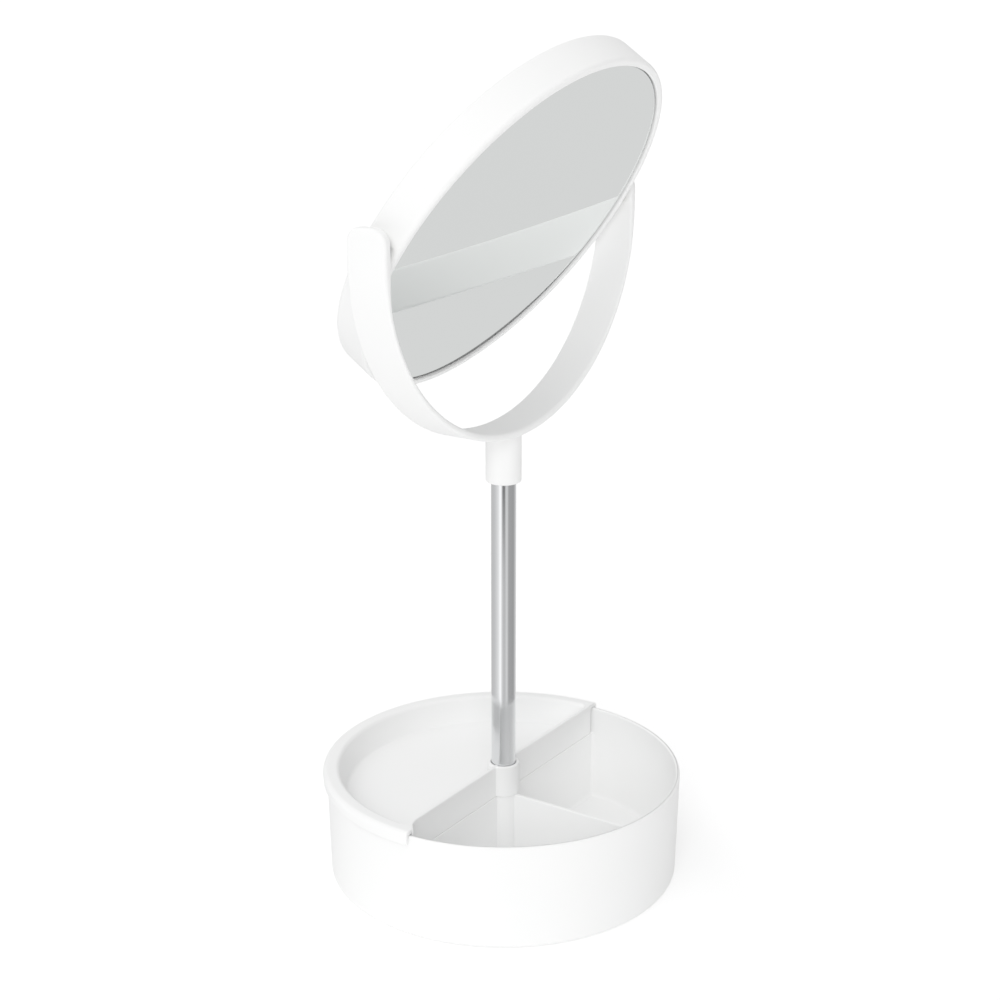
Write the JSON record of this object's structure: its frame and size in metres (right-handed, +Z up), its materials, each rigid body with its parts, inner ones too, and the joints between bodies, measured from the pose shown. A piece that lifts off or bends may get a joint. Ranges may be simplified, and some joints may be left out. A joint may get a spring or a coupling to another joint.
{
  "type": "extendable shaving mirror",
  "caption": "Round tilting mirror in a U-shaped yoke on a telescoping pole, standing on a round divided storage tub with a turning half-round tray.",
  "frame": {"origin": "centre of the base on the surface it stands on, under the pole", "axes": "+Z up along the pole; the mirror pivot axis runs along X; the mirror faces -Y and tips forward; the half tray lies on the +Y side"},
  "size_m": [0.207, 0.1764, 0.4064],
  "materials": {
    "white_plastic": "smooth white moulded plastic",
    "chrome_tube": "bright chrome plate",
    "mirror_glass": "silvered glass",
    "steel": "zinc-plated steel",
    "acetal": "natural acetal",
    "rubber": "matt grey rubber",
    "foam": "grey foam tape"
  },
  "bodies": {
    "base": {"base_tub": "white_plastic", "rubber_foot_1": "rubber", "rubber_foot_2": "rubber", "rubber_foot_3": "rubber", "rubber_foot_4": "rubber", "outer_tube": "chrome_tube", "tube_plug": "steel", "anchor_washer": "steel", "anchor_screw": "steel", "tube_bush": "acetal"},
    "tray": {"half_tray": "white_plastic"},
    "glide": {"slide_glide": "acetal", "friction_ring": "rubber"},
    "yoke_carrier": {"inner_tube": "chrome_tube", "yoke": "white_plastic", "set_screw": "steel", "pivot_bush_right": "acetal", "pivot_bush_left": "acetal", "friction_washer_right": "steel", "friction_washer_left": "steel"},
    "mirror_head": {"mirror_ring": "white_plastic", "plain_glass": "mirror_glass", "magnifying_glass": "mirror_glass", "front_foam_pad": "foam", "back_foam_pad": "foam", "pivot_pin_right": "steel", "pivot_pin_left": "steel"}
  },
  "joints": [
    {"name": "pole_extend", "type": "slide", "parent": "base", "child": "glide", "axis": [0, 0, 1], "range_m": [0, 0.12]},
    {"name": "yoke_swivel", "type": "hinge", "parent": "glide", "child": "yoke_carrier", "pos_m": [0, 0, 0.2], "axis": [0, 0, 1], "continuous": true},
    {"name": "mirror_tilt", "type": "hinge", "parent": "yoke_carrier", "child": "mirror_head", "pos_m": [0, 0, 0.3245], "axis": [1, 0, 0], "continuous": true},
    {"name": "tray_swivel", "type": "hinge", "parent": "base", "child": "tray", "pos_m": [0, 0, 0.045], "axis": [0, 0, 1], "continuous": true}
  ]
}
